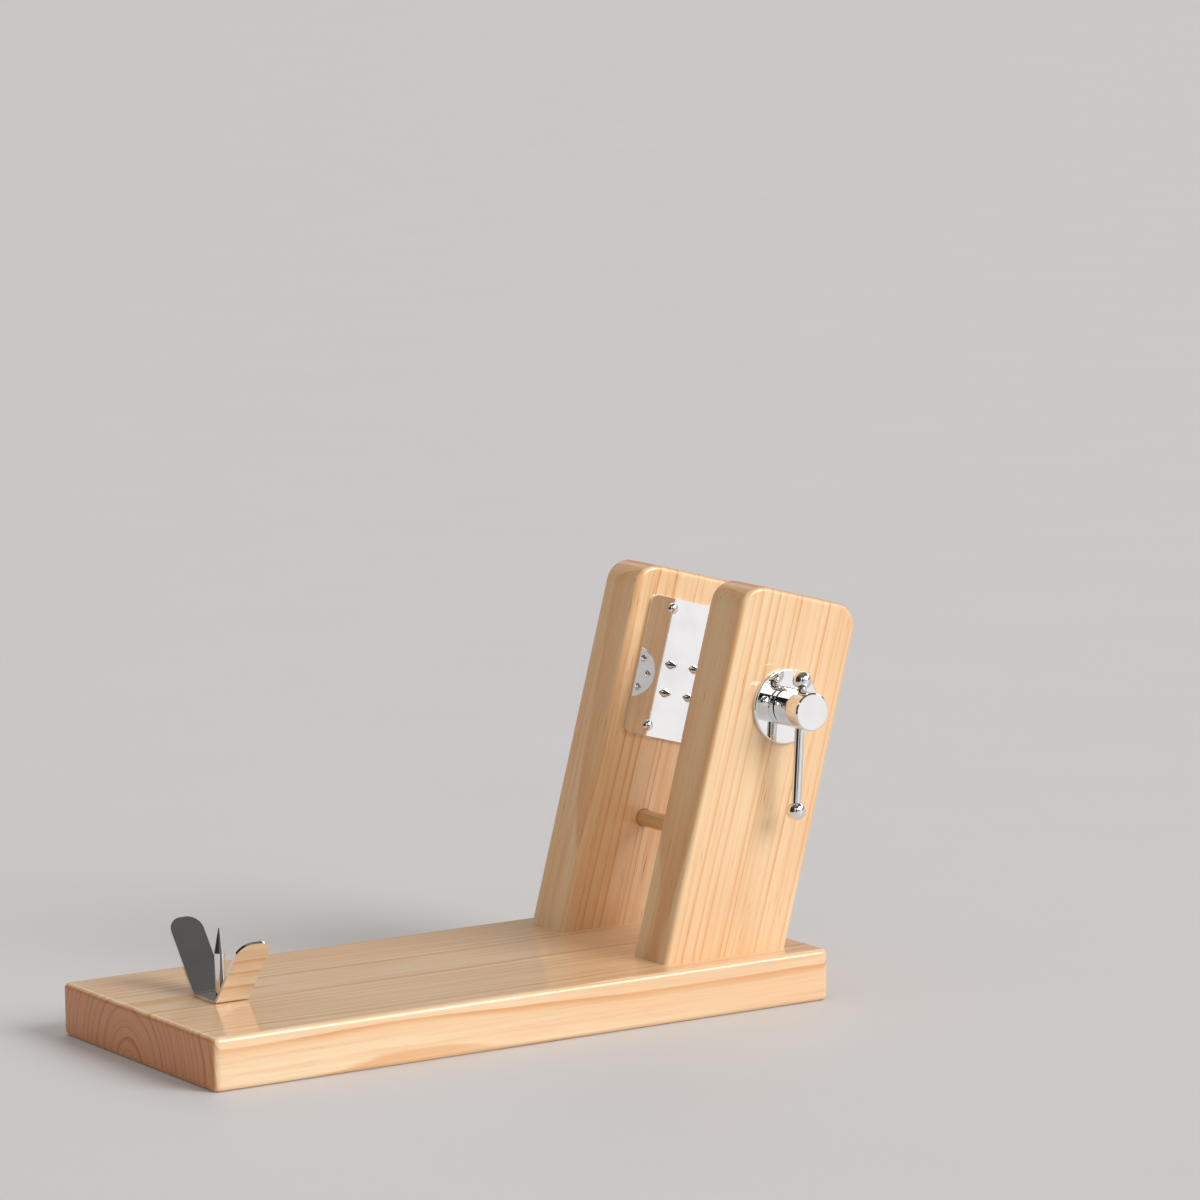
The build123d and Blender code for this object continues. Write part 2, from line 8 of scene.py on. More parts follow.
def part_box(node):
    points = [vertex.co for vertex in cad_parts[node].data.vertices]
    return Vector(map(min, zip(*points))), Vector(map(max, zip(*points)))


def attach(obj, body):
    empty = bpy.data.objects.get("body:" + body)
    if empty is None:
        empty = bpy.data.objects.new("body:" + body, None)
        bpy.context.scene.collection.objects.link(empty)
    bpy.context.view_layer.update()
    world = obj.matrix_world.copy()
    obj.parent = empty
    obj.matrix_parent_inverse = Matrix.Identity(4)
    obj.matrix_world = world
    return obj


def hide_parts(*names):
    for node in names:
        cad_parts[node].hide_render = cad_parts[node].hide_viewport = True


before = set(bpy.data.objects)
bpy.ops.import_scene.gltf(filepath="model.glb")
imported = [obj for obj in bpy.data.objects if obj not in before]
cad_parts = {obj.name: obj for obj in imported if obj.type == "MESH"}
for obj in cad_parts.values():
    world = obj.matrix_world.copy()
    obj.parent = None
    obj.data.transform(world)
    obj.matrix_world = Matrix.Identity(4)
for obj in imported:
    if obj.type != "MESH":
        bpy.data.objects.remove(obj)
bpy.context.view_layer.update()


# Base board: one planed pine board with rounded edges, under a glossy clear varnish.
# Its heart lies just below the board, so the rings arch across its ends and run as
# long lines down its top and sides.
class Wire:
    """A value in a material: sums and products of wires add the Math nodes that work them out."""

    def __init__(self, tree, socket=None):
        self.tree = tree
        self.socket = socket

    def node(self, kind, settings, inputs, out=0):
        """A node of that kind, its settings set first, then its sockets set or linked."""
        made = self.tree.nodes.new(kind)
        for name, value in settings.items():
            setattr(made, name, value)
        for key, value in inputs.items():
            if isinstance(value, Wire):
                self.tree.links.new(value.socket, made.inputs[key])
            else:
                made.inputs[key].default_value = value
        return Wire(self.tree, made.outputs[out])

    def math(self, operation, *others):
        return self.node("ShaderNodeMath", {"operation": operation}, dict(enumerate((self, *others))))

    def __add__(self, other):
        return self.math("ADD", other)

    def __mul__(self, other):
        return self.math("MULTIPLY", other)

    def __sub__(self, other):
        return self.math("SUBTRACT", other)

    def __rsub__(self, other):
        return self.node("ShaderNodeMath", {"operation": "SUBTRACT"}, {0: other, 1: self})

    def __pow__(self, other):
        return self.math("POWER", other)

    __radd__ = __add__
    __rmul__ = __mul__

    def rise(self, start, end):
        """0 below start, 1 above end, and a smooth step between them."""
        return self.node(
            "ShaderNodeMapRange",
            {"interpolation_type": "SMOOTHSTEP"},
            {"Value": self, "From Min": start, "From Max": end},
        )

    def noise(self, place, scale, detail=2.0):
        return self.node("ShaderNodeTexNoise", {}, {"Vector": place, "Scale": scale, "Detail": detail})

    def stretched(self, place, sizes):
        """The place with each of its axes multiplied by a number of its own."""
        return self.node("ShaderNodeVectorMath", {"operation": "MULTIPLY"}, {0: place, 1: sizes})

    def part(self, place, axis):
        """One coordinate of a place: axis 0, 1 or 2."""
        return self.node("ShaderNodeSeparateXYZ", {}, {0: place}, out=axis)

    def along(self, place, axis):
        """How far a place or direction lies along an axis."""
        return self.node(
            "ShaderNodeVectorMath", {"operation": "DOT_PRODUCT"}, {0: place, 1: axis}, out="Value"
        )

    def facing(self, axis):
        """How squarely the surface faces along an axis of the piece: 0 side on, 1 square on."""
        normal = self.node("ShaderNodeTexCoord", {}, {}, out="Normal")
        return self.along(normal, axis).math("ABSOLUTE")

    def blended(self, share, colour, other):
        """From one colour to another as share goes from 0 to 1."""
        return self.node("ShaderNodeMix", {"data_type": "RGBA"}, {0: share, 6: colour, 7: other}, out=2)


def new_material(name):
    """An empty material, its main shader and a wire to start its sums from."""
    material = bpy.data.materials.new(name)
    material.use_nodes = True
    shader = material.node_tree.nodes["Principled BSDF"]
    return material, shader, Wire(material.node_tree)


def set_look(wire, shader, colour, roughness, bump, depth):
    """Joins a colour, a roughness and a bump height to a shader."""
    tree = wire.tree
    tree.links.new(colour.socket, shader.inputs["Base Color"])
    tree.links.new(roughness.socket, shader.inputs["Roughness"])
    normal = wire.node("ShaderNodeBump", {}, {"Height": bump, "Distance": depth, "Strength": 1.0})
    tree.links.new(normal.socket, shader.inputs["Normal"])


SPACING_CHANGES = 55.0
SPACING_SPREAD = 3.2
RIPPLE_SHARE = 0.12
GRAIN_DEPTH = 0.0001
ENDS_SOAK_UP = 0.85
VARNISH_ROUGHNESS = 0.05
RESIN_TONE = (0.33, 0.13, 0.05, 1)


def varnished_wood(name, heart, grain_turn, ring_gap, wander, tones, resin, gloss):
    """Wood sawn round a heart line: rings about it, fibres along it, dark resin dashes, clear varnish.

    The tones are those of the early wood, its deeper patches, the late rings, the cut ends and
    the rings on them. The stretches below are patterns a metre, along the fibres and across them.
    """
    early, deeper, late, cut_end, cut_ring = tones
    material, shader, wire = new_material(name)
    place = wire.node("ShaderNodeTexCoord", {}, {}, out="Object")
    in_grain = wire.node(
        "ShaderNodeMapping",
        {"vector_type": "TEXTURE"},
        {"Vector": place, "Location": heart, "Rotation": (0, grain_turn, 0)},
    )
    across = wire.part(in_grain, 1)
    up = wire.part(in_grain, 2)
    radius = (across * across + up * up) ** 0.5
    drift = wire.noise(wire.stretched(in_grain, (4, 12, 12)), 1.0, 1.0) - 0.5
    ripple = wire.noise(wire.stretched(in_grain, (16, 70, 70)), 1.0) - 0.5
    uneven = wire.node(
        "ShaderNodeTexNoise",
        {"noise_dimensions": "1D"},
        {"W": radius, "Scale": SPACING_CHANGES, "Detail": 1.0},
    )
    spacing = (uneven - 0.5) * (ring_gap * SPACING_SPREAD)
    ring = (radius + spacing + drift * wander + ripple * (wander * RIPPLE_SHARE)) * (1 / ring_gap)
    phase = ring.math("FRACT")
    number = ring.math("FLOOR")
    weight = wire.node("ShaderNodeTexWhiteNoise", {"noise_dimensions": "1D"}, {"W": number})
    faded = wire.noise(wire.stretched(in_grain, (9, 60, 60)), 1.0).rise(0.3, 0.62)
    ring_line = phase.rise(0.62, 0.93) * (1 - phase.rise(0.945, 1.0)) * (0.3 + weight * 0.7)
    line = ring_line * (0.35 + faded * 0.65)
    glow = phase.rise(0.2, 0.92) * (1 - phase.rise(0.94, 1.0)) * (0.15 + weight * 0.5)
    fibre = wire.noise(wire.stretched(in_grain, (18, 700, 700)), 1.0, 3.0)
    streak = wire.noise(wire.stretched(in_grain, (9, 260, 260)), 1.0, 2.0)
    cloud = wire.noise(wire.stretched(in_grain, (6, 26, 26)), 1.0)
    spots = wire.noise(wire.stretched(in_grain, (48, 1500, 1500)), 1.0, 1.0)
    end_on = wire.facing((cos(grain_turn), 0, -sin(grain_turn))).rise(0.6, 0.95)
    dash = spots.rise(0.70, 0.77) * (1 - end_on) * resin
    colour = wire.blended(cloud.rise(0.38, 0.68) * 0.55, early, deeper)
    colour = wire.blended(glow, colour, deeper)
    colour = wire.blended(streak.rise(0.5, 0.72) * 0.3, colour, late)
    colour = wire.blended(line, colour, late)
    colour = wire.blended(fibre.rise(0.4, 0.75) * 0.2, colour, late)
    colour = wire.blended(dash * 0.75, colour, RESIN_TONE)
    cut = wire.blended(ring_line, cut_end, cut_ring)
    colour = wire.blended(end_on * 0.85, colour, cut)
    set_look(wire, shader, colour, 0.28 + fibre * 0.14, fibre * 0.6 + line * 0.4, GRAIN_DEPTH)
    coat = (1 - end_on * ENDS_SOAK_UP) * gloss
    wire.tree.links.new(coat.socket, shader.inputs["Coat Weight"])
    shader.inputs["Coat Roughness"].default_value = VARNISH_ROUGHNESS
    return material


def dress(material, *nodes):
    """Gives CAD nodes that stay as they are their finished material."""
    for node in nodes:
        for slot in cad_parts[node].material_slots:
            slot.material = material


BOARD_HEART = (0.0, 0.011, -0.004)
BOARD_RING_GAP = 0.0057
BOARD_WANDER = 0.007
PINE_TONES = (
    (0.905, 0.675, 0.43, 1),
    (0.86, 0.53, 0.285, 1),
    (0.74, 0.345, 0.12, 1),
    (0.60, 0.215, 0.075, 1),
    (0.42, 0.115, 0.025, 1),
)
VARNISH = 0.7
BOARD_RESIN = 0.25
board_pine = varnished_wood(
    "varnished_pine_board", BOARD_HEART, 0.0, BOARD_RING_GAP, BOARD_WANDER, PINE_TONES, BOARD_RESIN, VARNISH
)
dress(board_pine, "base_board")


# Uprights: two leaning pine blocks, sawn clear of the heart and varnished like the board, so
# their broad faces show fine straight lines. Long screws and a dowel hold each from below.
LEAN = radians(15.5)
UPRIGHT_RING_GAP = 0.0078
UPRIGHT_WANDER = 0.011
HEART_BEHIND = 0.13
HEART_ASIDE = {"front_upright": 0.009, "rear_upright": -0.012}
UPRIGHT_RESIN = 1.0
UPRIGHT_TONES = ((0.90, 0.645, 0.375, 1), (0.86, 0.505, 0.25, 1), (0.74, 0.325, 0.10, 1), *PINE_TONES[3:])
for upright, heart_aside in HEART_ASIDE.items():
    low, high = (Vector(corner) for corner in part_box(upright))
    middle = (low + high) / 2
    heart = (
        middle.x - HEART_BEHIND * cos(LEAN),
        middle.y + heart_aside,
        middle.z + HEART_BEHIND * sin(LEAN),
    )
    upright_pine = varnished_wood(
        f"varnished_pine_{upright}", heart, LEAN - pi / 2, UPRIGHT_RING_GAP, UPRIGHT_WANDER, UPRIGHT_TONES,
        UPRIGHT_RESIN, VARNISH,
    )
    dress(upright_pine, upright)


# Cross rod: a turned hardwood rod, varnished golden brown, let into blind holes in both uprights.
# The short dowels that locate the uprights on the board are the same wood, left bare.
ROD_TONES = ((0.74, 0.50, 0.24, 1), (0.65, 0.40, 0.17, 1), (0.47, 0.26, 0.09, 1), (0.38, 0.19, 0.06, 1))
TURNED_GRAIN_DEPTH = 0.00006
ROD_VARNISH_ROUGHNESS = 0.08


def turned_wood(name, fibres, tones, gloss):
    """Straight-grained wood turned round, its fibres along one axis and its colour in fine streaks."""
    early, deeper, late, cut_end = tones
    material, shader, wire = new_material(name)
    place = wire.node("ShaderNodeTexCoord", {}, {}, out="Object")
    fibre_sizes = tuple(25 if lengthwise else 900 for lengthwise in fibres)
    streak_sizes = tuple(size * 0.3 for size in fibre_sizes)
    fibre = wire.noise(wire.stretched(place, fibre_sizes), 1.0, 3.0)
    streak = wire.noise(wire.stretched(place, streak_sizes), 1.0, 2.0)
    end_on = wire.facing(fibres).rise(0.6, 0.95)
    colour = wire.blended(streak.rise(0.35, 0.7), early, deeper)
    colour = wire.blended(fibre.rise(0.5, 0.75) * 0.6, colour, late)
    colour = wire.blended(end_on * 0.7, colour, cut_end)
    set_look(wire, shader, colour, 0.35 + fibre * 0.2, fibre, TURNED_GRAIN_DEPTH)
    shader.inputs["Coat Weight"].default_value = gloss
    shader.inputs["Coat Roughness"].default_value = ROD_VARNISH_ROUGHNESS
    return material


rod_wood = turned_wood("varnished_rod_wood", (0, 1, 0), ROD_TONES, 0.6)
dress(rod_wood, "cross_rod")
dowel_wood = turned_wood("bare_dowel_wood", (0, 0, 1), ROD_TONES, 0.0)
dress(dowel_wood, "front_upright_dowel", "rear_upright_dowel")


# Long screws: zinc-plated countersunk wood screws, two up into the foot of each upright, with
# their heads let in flush under the board. The cradle's two small screws are of the same kind.
RUBBED_DEPTH = 0.0000015


def plated_steel(name, bright, dull, polish, unevenness):
    """Plated steel with a faint haze and fine marks left by polishing."""
    material, shader, wire = new_material(name)
    place = wire.node("ShaderNodeTexCoord", {}, {}, out="Object")
    haze = wire.noise(place, 60.0, 3.0)
    rubbed = wire.noise(wire.stretched(place, (700, 90, 700)), 1.0, 2.0)
    colour = wire.blended(haze.rise(0.42, 0.7), bright, dull)
    roughness = polish + haze * unevenness + rubbed.rise(0.6, 0.8) * unevenness
    set_look(wire, shader, colour, roughness, rubbed, RUBBED_DEPTH)
    shader.inputs["Metallic"].default_value = 1.0
    return material


zinc = plated_steel("zinc_plate", (0.72, 0.72, 0.70, 1), (0.60, 0.61, 0.60, 1), 0.24, 0.16)
dress(zinc, "front_upright_screws", "rear_upright_screws", "toe_cradle_screws")


# Clamp flange: the chromed flange and boss of the nut that the clamp screw turns in. Its barrel
# goes through the front upright, and a dark running gap is left between the boss and the head.
chrome = plated_steel("bright_chrome", (0.90, 0.90, 0.905, 1), (0.84, 0.84, 0.85, 1), 0.018, 0.03)
dress(chrome, "clamp_flange_nut")
spindle_low, spindle_high = (Vector(corner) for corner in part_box("clamp_spindle"))
clamp_centre = (spindle_low + spindle_high) / 2
upright_across = Vector((cos(LEAN), 0, -sin(LEAN)))
up_the_lean = Vector((sin(LEAN), 0, cos(LEAN)))


# Domed screws: chromed wood screws with low round heads, two through the clamp flange and four
# through the fixed jaw plate. One turned screw is set at each hole.
def turned(name, outline, sides):
    """A mesh turned about Z from an outline of (radius, height), closed at both ends on the axis."""
    form = bmesh.new()
    rings = []
    for radius, height in outline:
        if radius == 0:
            rings.append([form.verts.new((0, 0, height))])
        else:
            turns = (2 * pi * side / sides for side in range(sides))
            ring = [form.verts.new((radius * cos(turn), radius * sin(turn), height)) for turn in turns]
            rings.append(ring)
    for lower, upper in zip(rings, rings[1:]):
        for side in range(sides):
            after = (side + 1) % sides
            corners = [lower[side % len(lower)], lower[after % len(lower)],
                       upper[after % len(upper)], upper[side % len(upper)]]
            form.faces.new(dict.fromkeys(corners))
    bmesh.ops.recalc_face_normals(form, faces=form.faces)
    mesh = bpy.data.meshes.new(name)
    form.to_mesh(mesh)
    form.free()
    return mesh


def arc(centre, radius, start, end, steps):
    """Points along part of a circle, from one angle to another in degrees."""
    angles = (radians(start + (end - start) * step / steps) for step in range(steps + 1))
    return [(centre[0] + radius * cos(angle), centre[1] + radius * sin(angle)) for angle in angles]


def shown(name, mesh):
    """A new object with that mesh, in the scene."""
    made = bpy.data.objects.new(name, mesh)
    bpy.context.scene.collection.objects.link(made)
    return made


SMOOTH_BELOW = radians(32)


def new_tree(name, sizes):
    """A Geometry Nodes tree with named sizes: the tree, its inputs, a way to add nodes and its end."""
    tree = bpy.data.node_groups.new(name, "GeometryNodeTree")
    tree.interface.new_socket("Geometry", in_out="INPUT", socket_type="NodeSocketGeometry")
    for size, kind in sizes.items():
        tree.interface.new_socket(size, in_out="INPUT", socket_type=kind)
    tree.interface.new_socket("Geometry", in_out="OUTPUT", socket_type="NodeSocketGeometry")
    entry = tree.nodes.new("NodeGroupInput")
    leave = tree.nodes.new("NodeGroupOutput")

    def add(kind, settings, inputs):
        made = tree.nodes.new(kind)
        for setting, value in settings.items():
            setattr(made, setting, value)
        for socket, value in inputs.items():
            for item in value if isinstance(value, list) else [value]:
                if isinstance(item, bpy.types.NodeSocket):
                    tree.links.new(item, made.inputs[socket])
                else:
                    made.inputs[socket].default_value = item
        return made.outputs

    def end(geometry, material):
        """Real meshes, smooth except at their sharp edges, in the material."""
        real = add("GeometryNodeRealizeInstances", {}, {"Geometry": geometry})[0]
        steep = add("GeometryNodeInputMeshEdgeAngle", {}, {})["Unsigned Angle"]
        soft = add("FunctionNodeCompare", {"operation": "LESS_THAN"}, {"A": steep, "B": SMOOTH_BELOW})[0]
        by_face = {"Geometry": real, "Shade Smooth": True}
        faces = add("GeometryNodeSetShadeSmooth", {"domain": "FACE"}, by_face)[0]
        by_edge = {"Geometry": faces, "Shade Smooth": soft}
        edges = add("GeometryNodeSetShadeSmooth", {"domain": "EDGE"}, by_edge)[0]
        done = add("GeometryNodeSetMaterial", {}, {"Geometry": edges, "Material": material})[0]
        tree.links.new(done, leave.inputs[0])

    return tree, entry.outputs, add, end


def grown(name, node, plan, tree, values, body):
    """Runs a tree on a plan mesh and keeps the result as a plain piece that stands for a CAD node."""
    held = shown(name + "_plan", plan)
    modifier = held.modifiers.new(tree.name, "NODES")
    modifier.node_group = tree
    for item in tree.interface.items_tree:
        if item.in_out == "INPUT" and item.name in values:
            modifier[item.identifier] = values[item.name]
    graph = bpy.context.evaluated_depsgraph_get()
    mesh = bpy.data.meshes.new_from_object(held.evaluated_get(graph))
    bpy.data.objects.remove(held)
    mesh.name = name
    piece = shown(name, mesh)
    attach(piece, body)
    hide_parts(node)
    return piece


def points(name, places):
    """A mesh of loose points, one at each place."""
    plan = bpy.data.meshes.new(name)
    plan.from_pydata(places, [], [])
    return plan


SET_SIZES = {"Fitting": "NodeSocketObject", "Faces": "NodeSocketVector", "Turn": "NodeSocketFloat"}
set_tree, sizes, add, end = new_tree("fittings_set_at_points", SET_SIZES)
fitting = add("GeometryNodeObjectInfo", {"transform_space": "ORIGINAL"}, {"Object": sizes["Fitting"]})
aimed = add("FunctionNodeAlignRotationToVector", {"axis": "Z"}, {"Vector": sizes["Faces"]})[0]
spun = add("FunctionNodeAxisAngleToRotation", {}, {"Axis": (0, 0, 1), "Angle": sizes["Turn"]})[0]
rotation = add(
    "FunctionNodeRotateRotation", {"rotation_space": "LOCAL"}, {"Rotation": aimed, "Rotate By": spun}
)[0]
placed = add(
    "GeometryNodeInstanceOnPoints", {},
    {"Points": sizes["Geometry"], "Instance": fitting["Geometry"], "Rotation": rotation},
)[0]
end(placed, chrome)


SEAM_TURN = radians(20)


def set_fittings(name, node, outline, sides, places, faces, body):
    """Turns one fitting and sets it at each place, as the piece that stands for that CAD node."""
    pattern = shown(name + "_pattern", turned(name + "_pattern", outline, sides))
    values = {"Fitting": pattern, "Faces": faces, "Turn": SEAM_TURN}
    piece = grown(name, node, points(name, places), set_tree, values, body)
    bpy.data.objects.remove(pattern)
    return piece


HEAD_RADIUS = 0.00325
HEAD_HEIGHT = 0.0024
HEAD_RIM = 0.0004
UNDERCUT = 0.0001
SHANK_RADIUS = 0.0016
SHANK_LENGTH = 0.018
TIP_LENGTH = 0.004
dome_rise = HEAD_HEIGHT - HEAD_RIM
dome_radius = (HEAD_RADIUS ** 2 + dome_rise ** 2) / (2 * dome_rise)
screw_outline = [
    (0, -SHANK_LENGTH), (SHANK_RADIUS, TIP_LENGTH - SHANK_LENGTH), (SHANK_RADIUS, 0),
    (HEAD_RADIUS - UNDERCUT, 0), (HEAD_RADIUS, UNDERCUT), (HEAD_RADIUS, HEAD_RIM),
]
DOME_STEPS = 10
for step in range(1, DOME_STEPS):
    radius = HEAD_RADIUS * cos(pi / 2 * step / DOME_STEPS)
    sag = dome_radius - (dome_radius ** 2 - radius ** 2) ** 0.5
    screw_outline.append((radius, HEAD_HEIGHT - sag))
screw_outline.append((0, HEAD_HEIGHT))

FLANGE_SCREW_SPACING = 0.031
SCREW_SIDES = 40
towards_user = (0, -1, 0)
flange_screws_low = Vector(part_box("clamp_flange_screws")[0])
flange_seat = flange_screws_low.y + HEAD_HEIGHT
flange_places = [
    Vector((clamp_centre.x, flange_seat, clamp_centre.z))
    + upright_across * (side * FLANGE_SCREW_SPACING / 2)
    for side in (-1, 1)
]
set_fittings(
    "domed_flange_screws", "clamp_flange_screws", screw_outline, SCREW_SIDES, flange_places, towards_user,
    "stand",
)


# Clamp screw: a steel spindle with a coarse cut thread, chromed, and a turned head that takes
# the tommy bar. The spindle is screwed through the flanged nut and its end sits in the head.
THREAD_PITCH = 0.003
STEPS_A_TURN = 48
CREST_RADIUS = 0.00695
ROOT_RADIUS = 0.0057
THREAD_SUNK = 0.0002
CREST_WIDTH = 0.0007
ROOT_WIDTH = 0.0023
NOSE_RADIUS = 0.005
GROOVE_RADIUS = 0.0042
GROOVE_FROM_SHOULDER = 0.0021
GROOVE_HALF = 0.00075
SHOULDER_GAP = 0.0005
CHAMFER = 0.0008
SPINDLE_SIDES = 64
dress(chrome, "spindle_head")

THREAD_SIZES = {
    "Middle": "NodeSocketVector", "Turns": "NodeSocketFloat", "Length": "NodeSocketFloat",
    "Start": "NodeSocketFloat", "Root radius": "NodeSocketFloat", "Depth": "NodeSocketFloat",
    "Root width": "NodeSocketFloat", "Crest width": "NodeSocketFloat",
}
thread_tree, sizes, add, end = new_tree("cut_thread", THREAD_SIZES)
helix = add(
    "GeometryNodeCurveSpiral", {},
    {"Resolution": STEPS_A_TURN, "Rotations": sizes["Turns"], "Start Radius": sizes["Root radius"],
     "End Radius": sizes["Root radius"], "Height": sizes["Length"]},
)[0]
upright_helix = add("GeometryNodeSetCurveNormal", {"mode": "Z_UP"}, {"Curve": helix})[0]
ridge = add(
    "GeometryNodeCurvePrimitiveQuadrilateral", {"mode": "TRAPEZOID"},
    {"Bottom Width": sizes["Root width"], "Top Width": sizes["Crest width"], "Height": sizes["Depth"],
     "Offset": 0.0},
)[0]
to_ridge = add("ShaderNodeMath", {"operation": "MULTIPLY"}, {0: sizes["Depth"], 1: -0.5})[0]
outward = add("ShaderNodeCombineXYZ", {}, {"X": to_ridge})[0]
ridge_out = add(
    "GeometryNodeTransform", {}, {"Geometry": ridge, "Rotation": (0, 0, pi / 2), "Translation": outward}
)[0]
thread = add(
    "GeometryNodeCurveToMesh", {}, {"Curve": upright_helix, "Profile Curve": ridge_out, "Fill Caps": True}
)[0]
start = add("ShaderNodeCombineXYZ", {}, {"Z": sizes["Start"]})[0]
raised = add("GeometryNodeTransform", {}, {"Geometry": thread, "Translation": start})[0]
together = add("GeometryNodeJoinGeometry", {}, {"Geometry": [raised, sizes["Geometry"]]})[0]
laid = add(
    "GeometryNodeTransform", {},
    {"Geometry": together, "Rotation": (pi / 2, 0, 0), "Translation": sizes["Middle"]},
)[0]
end(laid, chrome)

jaw_low = Vector(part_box("swivel_jaw")[0])
shoulder_y = jaw_low.y - SHOULDER_GAP
nose_length = spindle_high.y - shoulder_y
body_length = shoulder_y - spindle_low.y
spindle_outline = [
    (0, -nose_length), (NOSE_RADIUS - CHAMFER / 2, -nose_length), (NOSE_RADIUS, CHAMFER / 2 - nose_length),
    (NOSE_RADIUS, -GROOVE_FROM_SHOULDER - GROOVE_HALF), (GROOVE_RADIUS, -GROOVE_FROM_SHOULDER - GROOVE_HALF),
    (GROOVE_RADIUS, GROOVE_HALF - GROOVE_FROM_SHOULDER), (NOSE_RADIUS, GROOVE_HALF - GROOVE_FROM_SHOULDER),
    (NOSE_RADIUS, 0), (ROOT_RADIUS, 0), (ROOT_RADIUS, body_length), (0, body_length),
]
thread_length = body_length - THREAD_PITCH
thread_sizes = {
    "Middle": (clamp_centre.x, shoulder_y, clamp_centre.z), "Turns": thread_length / THREAD_PITCH,
    "Length": thread_length, "Start": THREAD_PITCH / 2, "Root radius": ROOT_RADIUS - THREAD_SUNK,
    "Depth": CREST_RADIUS - ROOT_RADIUS + THREAD_SUNK, "Root width": ROOT_WIDTH, "Crest width": CREST_WIDTH,
}
core = turned("spindle_core", spindle_outline, SPINDLE_SIDES)
grown("threaded_spindle", "clamp_spindle", core, thread_tree, thread_sizes, "screw")


# Tommy bar: a plain steel bar, polished and chromed, that turns the clamp screw. It slides
# through a cross hole in the head, and a ball screwed on each end keeps it there.
dress(chrome, "tommy_bar", "tommy_ball_upper", "tommy_ball_lower")


# Swivel jaw: a round chromed steel jaw with pointed teeth. It turns freely on the spindle's
# nose, and a satin spring ring in a groove keeps it from coming off.
spring_steel = plated_steel("spring_steel", (0.45, 0.45, 0.46, 1), (0.34, 0.34, 0.35, 1), 0.25, 0.15)
dress(chrome, "swivel_jaw")
dress(spring_steel, "jaw_spring_ring")


# Fixed jaw: a chromed steel plate screwed to the rear upright, with four pointed studs riveted in
# it that bite the shank from the other side.
PLATE_SCREW_ACROSS = 0.031
PLATE_SCREW_RISE = 0.070
STUD_CIRCLE_RADIUS = 0.012
STUD_RADIUS = 0.0025
STUD_STRAIGHT = 0.001
STUD_POINT = 0.005
TIP_RADIUS = 0.0003
STUD_SIDES = 36
dress(chrome, "fixed_jaw_plate")
plate_low, plate_high = (Vector(corner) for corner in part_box("fixed_jaw_plate"))
plate_middle = (plate_low + plate_high) / 2
plate_places = [
    Vector((plate_middle.x, plate_low.y, plate_middle.z))
    + upright_across * (side * PLATE_SCREW_ACROSS / 2) + up_the_lean * (end_of * PLATE_SCREW_RISE / 2)
    for side in (-1, 1) for end_of in (-1, 1)
]
set_fittings(
    "domed_jaw_screws", "fixed_jaw_screws", screw_outline, SCREW_SIDES, plate_places, towards_user, "stand"
)
plate_thickness = plate_high.y - plate_low.y
stud_outline = [(0, -plate_thickness), (STUD_RADIUS, -plate_thickness), (STUD_RADIUS, STUD_STRAIGHT)]
stud_tip = STUD_STRAIGHT + STUD_POINT
stud_outline += arc((TIP_RADIUS, stud_tip - TIP_RADIUS), TIP_RADIUS, 20, 80, 4)
stud_outline.append((0, stud_tip))
stud_places = [
    Vector((clamp_centre.x, plate_low.y, clamp_centre.z))
    + upright_across * (STUD_CIRCLE_RADIUS * cos(turn)) + up_the_lean * (STUD_CIRCLE_RADIUS * sin(turn))
    for turn in (pi / 4 + quarter * pi / 2 for quarter in range(4))
]
set_fittings(
    "pointed_jaw_studs", "fixed_jaw_studs", stud_outline, STUD_SIDES, stud_places, towards_user, "stand"
)


# Toe cradle: one strip of chromed sheet steel folded up into two splayed ears, screwed to the
# board, with a pointed spike through its middle that the ham's toe end is pushed on.
dress(chrome, "toe_cradle", "toe_spike")


# Floor: a plain pale studio floor under the stand, wide enough to meet the backdrop far away.
# It isn't part of the stand.
FLOOR_HALF = 30.0
FLOOR_GREY = (0.66, 0.66, 0.67, 1)
FLOOR_LIGHTER_GREY = (0.68, 0.68, 0.69, 1)
floor_mesh = bpy.data.meshes.new("floor")
floor_corners = [(-FLOOR_HALF, -FLOOR_HALF, 0), (FLOOR_HALF, -FLOOR_HALF, 0),
                 (FLOOR_HALF, FLOOR_HALF, 0), (-FLOOR_HALF, FLOOR_HALF, 0)]
floor_mesh.from_pydata(floor_corners, [], [(0, 1, 2, 3)])
floor = shown("floor", floor_mesh)
floor_paint, shader, wire = new_material("pale_floor")
spread = wire.noise(wire.node("ShaderNodeTexCoord", {}, {}, out="Object"), 6.0)
shade = wire.blended(spread, FLOOR_GREY, FLOOR_LIGHTER_GREY)
wire.tree.links.new(shade.socket, shader.inputs["Base Color"])
shader.inputs["Roughness"].default_value = 0.6
floor_mesh.materials.append(floor_paint)


# Studio: one broad soft lamp to the front right, and a pale room. What metal and varnish mirror
# is the same room with dark screens in it, which give the chrome its black and white bands.
SUN_FROM = Vector((0.42, -0.74, 0.53))
RIGHT_IN_VIEW = (0.848, -0.53, 0)
BACKDROP_LIGHT = 0.62
sun = bpy.data.lights.new("key_lamp", "SUN")
sun.energy = 2.1
sun.angle = radians(34)
sun_held = shown("key_lamp", sun)
sun_held.rotation_euler = (-SUN_FROM).to_track_quat("-Z", "Y").to_euler()

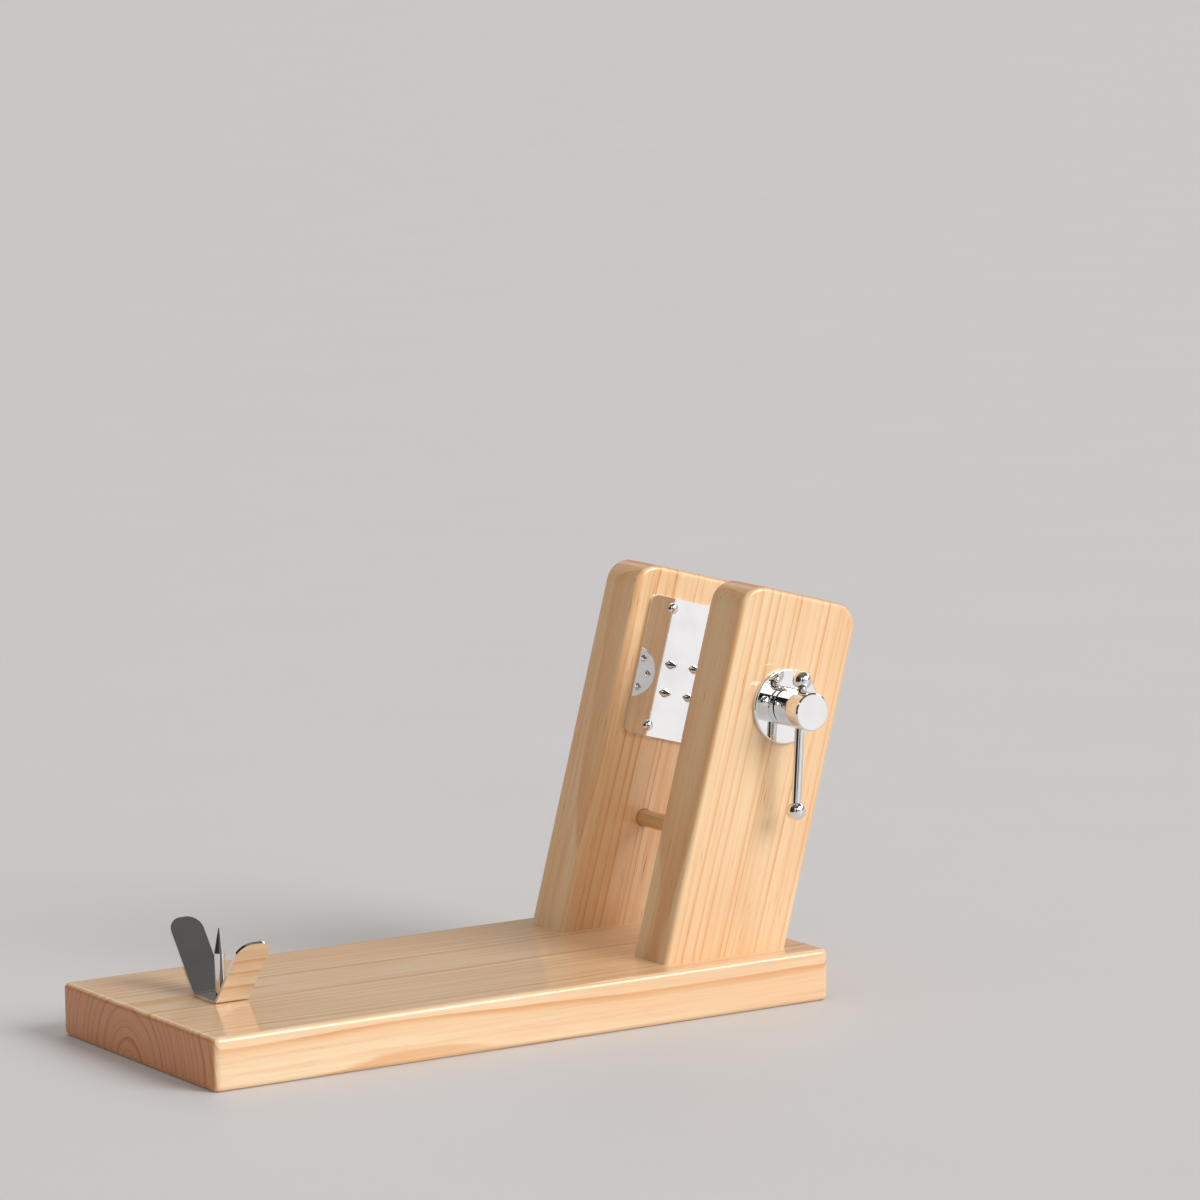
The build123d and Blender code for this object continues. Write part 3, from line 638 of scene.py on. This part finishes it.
world = bpy.data.worlds.new("studio")
world.use_nodes = True
bpy.context.scene.world = world
room = Wire(world.node_tree)
background = world.node_tree.nodes["Background"]
direction = room.node("ShaderNodeTexCoord", {}, {}, out="Generated")
height = room.part(direction, 2)
to_right = room.along(direction, RIGHT_IN_VIEW)
mirrored = room.node("ShaderNodeLightPath", {}, {}, out="Is Glossy Ray")
seen = room.node("ShaderNodeLightPath", {}, {}, out="Is Camera Ray")
soft_light = 0.41 + to_right.rise(-0.6, 0.8) * 0.11 + height.rise(0.1, 0.9) * 0.12
softbox = height.rise(0.28, 0.34) * (1 - height.rise(0.6, 0.68)) * to_right.rise(-0.3, -0.15)
wall = (1 - height.rise(0.10, 0.2)) * (0.2 + to_right.rise(-0.5, 0.6) * 0.4)
screens = softbox * 1.3 + wall + 0.07 + height.rise(0.7, 1.0) * 0.12
strength = room.node("ShaderNodeMix", {"data_type": "FLOAT"}, {0: mirrored, 2: soft_light, 3: screens})
strength = room.node("ShaderNodeMix", {"data_type": "FLOAT"}, {0: seen, 2: strength, 3: BACKDROP_LIGHT})
world.node_tree.links.new(strength.socket, background.inputs["Strength"])
background.inputs["Color"].default_value = (1.0, 0.95, 0.91, 1)

# Black screens: two upright cards that only the chrome and the varnish mirror, as in a studio.
# They cast no shadow and can't be seen themselves.
SCREEN_FOOT = 0.001
SCREEN_HEIGHT = 0.95
black, shader, wire = new_material("black_screen")
nap = wire.noise(wire.node("ShaderNodeTexCoord", {}, {}, out="Object"), 40.0)
cloth = wire.blended(nap, (0.010, 0.010, 0.010, 1), (0.018, 0.018, 0.018, 1))
wire.tree.links.new(cloth.socket, shader.inputs["Base Color"])
shader.inputs["Roughness"].default_value = 0.9
SCREEN_ENDS = {
    "black_screen_left": ((-0.75, -0.75), (-0.55, 0.95)),
    "black_screen_front": ((-0.42, -1.05), (-0.16, -1.12)),
}
for name, (near_end, far_end) in SCREEN_ENDS.items():
    card = bpy.data.meshes.new(name)
    low_edge = [(*near_end, SCREEN_FOOT), (*far_end, SCREEN_FOOT)]
    high_edge = [(*far_end, SCREEN_HEIGHT), (*near_end, SCREEN_HEIGHT)]
    card.from_pydata(low_edge + high_edge, [], [(0, 1, 2, 3)])
    card.materials.append(black)
    screen = shown(name, card)
    screen.visible_camera = False
    screen.visible_diffuse = False
    screen.visible_shadow = False
    screen.visible_transmission = False


# Camera: stands well back, to the left of the clamp side and a little above the stand, and
# looks slightly down on it through a long lens.
CAMERA_PLACE = Vector((-1.5987, -2.7255, 0.6979))
CAMERA_TURN = radians(32.011)
CAMERA_DIP = radians(8.274)
CAMERA_ROLL = radians(-0.884)
CAMERA_LENS = 169.95
CAMERA_SENSOR = 36.0
forward = Vector((sin(CAMERA_TURN) * cos(CAMERA_DIP), cos(CAMERA_TURN) * cos(CAMERA_DIP), -sin(CAMERA_DIP)))
level_right = Vector((cos(CAMERA_TURN), -sin(CAMERA_TURN), 0))
level_up = level_right.cross(forward)
right = level_right * cos(CAMERA_ROLL) + level_up * sin(CAMERA_ROLL)
up = level_up * cos(CAMERA_ROLL) - level_right * sin(CAMERA_ROLL)
lens = bpy.data.cameras.new("camera")
lens.lens = CAMERA_LENS
lens.sensor_width = CAMERA_SENSOR
camera = shown("camera", lens)
turned_to_stand = Matrix((right, up, -forward)).transposed().to_4x4()
camera.matrix_world = Matrix.Translation(CAMERA_PLACE) @ turned_to_stand
bpy.context.scene.camera = camera
bpy.context.scene.view_settings.view_transform = "Standard"
